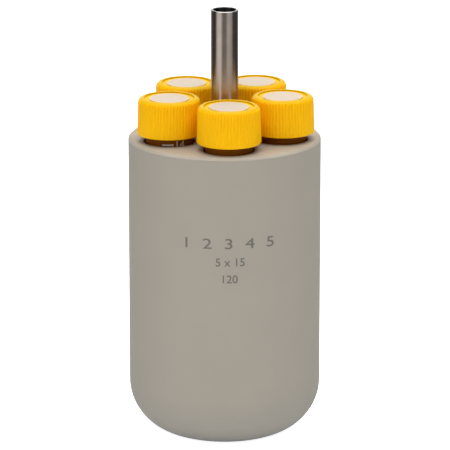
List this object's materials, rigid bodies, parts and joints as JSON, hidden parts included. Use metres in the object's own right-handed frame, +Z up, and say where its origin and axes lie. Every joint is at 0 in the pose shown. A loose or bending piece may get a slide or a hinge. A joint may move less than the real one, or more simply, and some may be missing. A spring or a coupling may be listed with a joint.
{
  "type": "round centrifuge tube carrier",
  "caption": "Round-bottomed plastic carrier for a swing-out centrifuge bucket, holding conical screw-cap tubes round a steel lifting tube.",
  "frame": {"origin": "centre of the flat base of the carrier", "axes": "+Z up along the carrier's axis to the lifting tube's mouth; -Y towards the first tube"},
  "size_m": [0.0694, 0.0694, 0.1563],
  "materials": {
    "carrier": "matte",
    "steel": "brushed",
    "amber": "satin",
    "cap": "satin",
    "disc": "matte",
    "seal": "matte"
  },
  "bodies": {
    "carrier": {"carrier_body": "carrier", "lift_tube": "steel", "tube_1": "amber", "tube_2": "amber", "tube_3": "amber", "tube_4": "amber", "tube_5": "amber"},
    "seal_1": {"seal_1": "seal"},
    "cap_1": {"cap_1": "cap", "cap_disc_1": "disc"},
    "seal_2": {"seal_2": "seal"},
    "cap_2": {"cap_2": "cap", "cap_disc_2": "disc"},
    "seal_3": {"seal_3": "seal"},
    "cap_3": {"cap_3": "cap", "cap_disc_3": "disc"},
    "seal_4": {"seal_4": "seal"},
    "cap_4": {"cap_4": "cap", "cap_disc_4": "disc"},
    "seal_5": {"seal_5": "seal"},
    "cap_5": {"cap_5": "cap", "cap_disc_5": "disc"}
  },
  "joints": [
    {"name": "seal_1_rise", "type": "slide", "parent": "carrier", "child": "seal_1", "axis": [0, 0, 1], "range_m": [0, 0.0045]},
    {"name": "cap_1_turn", "type": "hinge", "parent": "seal_1", "child": "cap_1", "pos_m": [0, -0.0214, 0.1232], "axis": [0, 0, 1], "range_deg": [0, 540]},
    {"name": "seal_2_rise", "type": "slide", "parent": "carrier", "child": "seal_2", "axis": [0, 0, 1], "range_m": [0, 0.0045]},
    {"name": "cap_2_turn", "type": "hinge", "parent": "seal_2", "child": "cap_2", "pos_m": [0.02035, -0.00661, 0.1232], "axis": [0, 0, 1], "range_deg": [0, 540]},
    {"name": "seal_3_rise", "type": "slide", "parent": "carrier", "child": "seal_3", "axis": [0, 0, 1], "range_m": [0, 0.0045]},
    {"name": "cap_3_turn", "type": "hinge", "parent": "seal_3", "child": "cap_3", "pos_m": [0.01258, 0.01731, 0.1232], "axis": [0, 0, 1], "range_deg": [0, 540]},
    {"name": "seal_4_rise", "type": "slide", "parent": "carrier", "child": "seal_4", "axis": [0, 0, 1], "range_m": [0, 0.0045]},
    {"name": "cap_4_turn", "type": "hinge", "parent": "seal_4", "child": "cap_4", "pos_m": [-0.01258, 0.01731, 0.1232], "axis": [0, 0, 1], "range_deg": [0, 540]},
    {"name": "seal_5_rise", "type": "slide", "parent": "carrier", "child": "seal_5", "axis": [0, 0, 1], "range_m": [0, 0.0045]},
    {"name": "cap_5_turn", "type": "hinge", "parent": "seal_5", "child": "cap_5", "pos_m": [-0.02035, -0.00661, 0.1232], "axis": [0, 0, 1], "range_deg": [0, 540]}
  ],
  "couplings": [
    {"joint": "seal_1_rise", "follows": "cap_1_turn", "m_per_rad": 0.00047746},
    {"joint": "seal_2_rise", "follows": "cap_2_turn", "m_per_rad": 0.00047746},
    {"joint": "seal_3_rise", "follows": "cap_3_turn", "m_per_rad": 0.00047746},
    {"joint": "seal_4_rise", "follows": "cap_4_turn", "m_per_rad": 0.00047746},
    {"joint": "seal_5_rise", "follows": "cap_5_turn", "m_per_rad": 0.00047746}
  ]
}
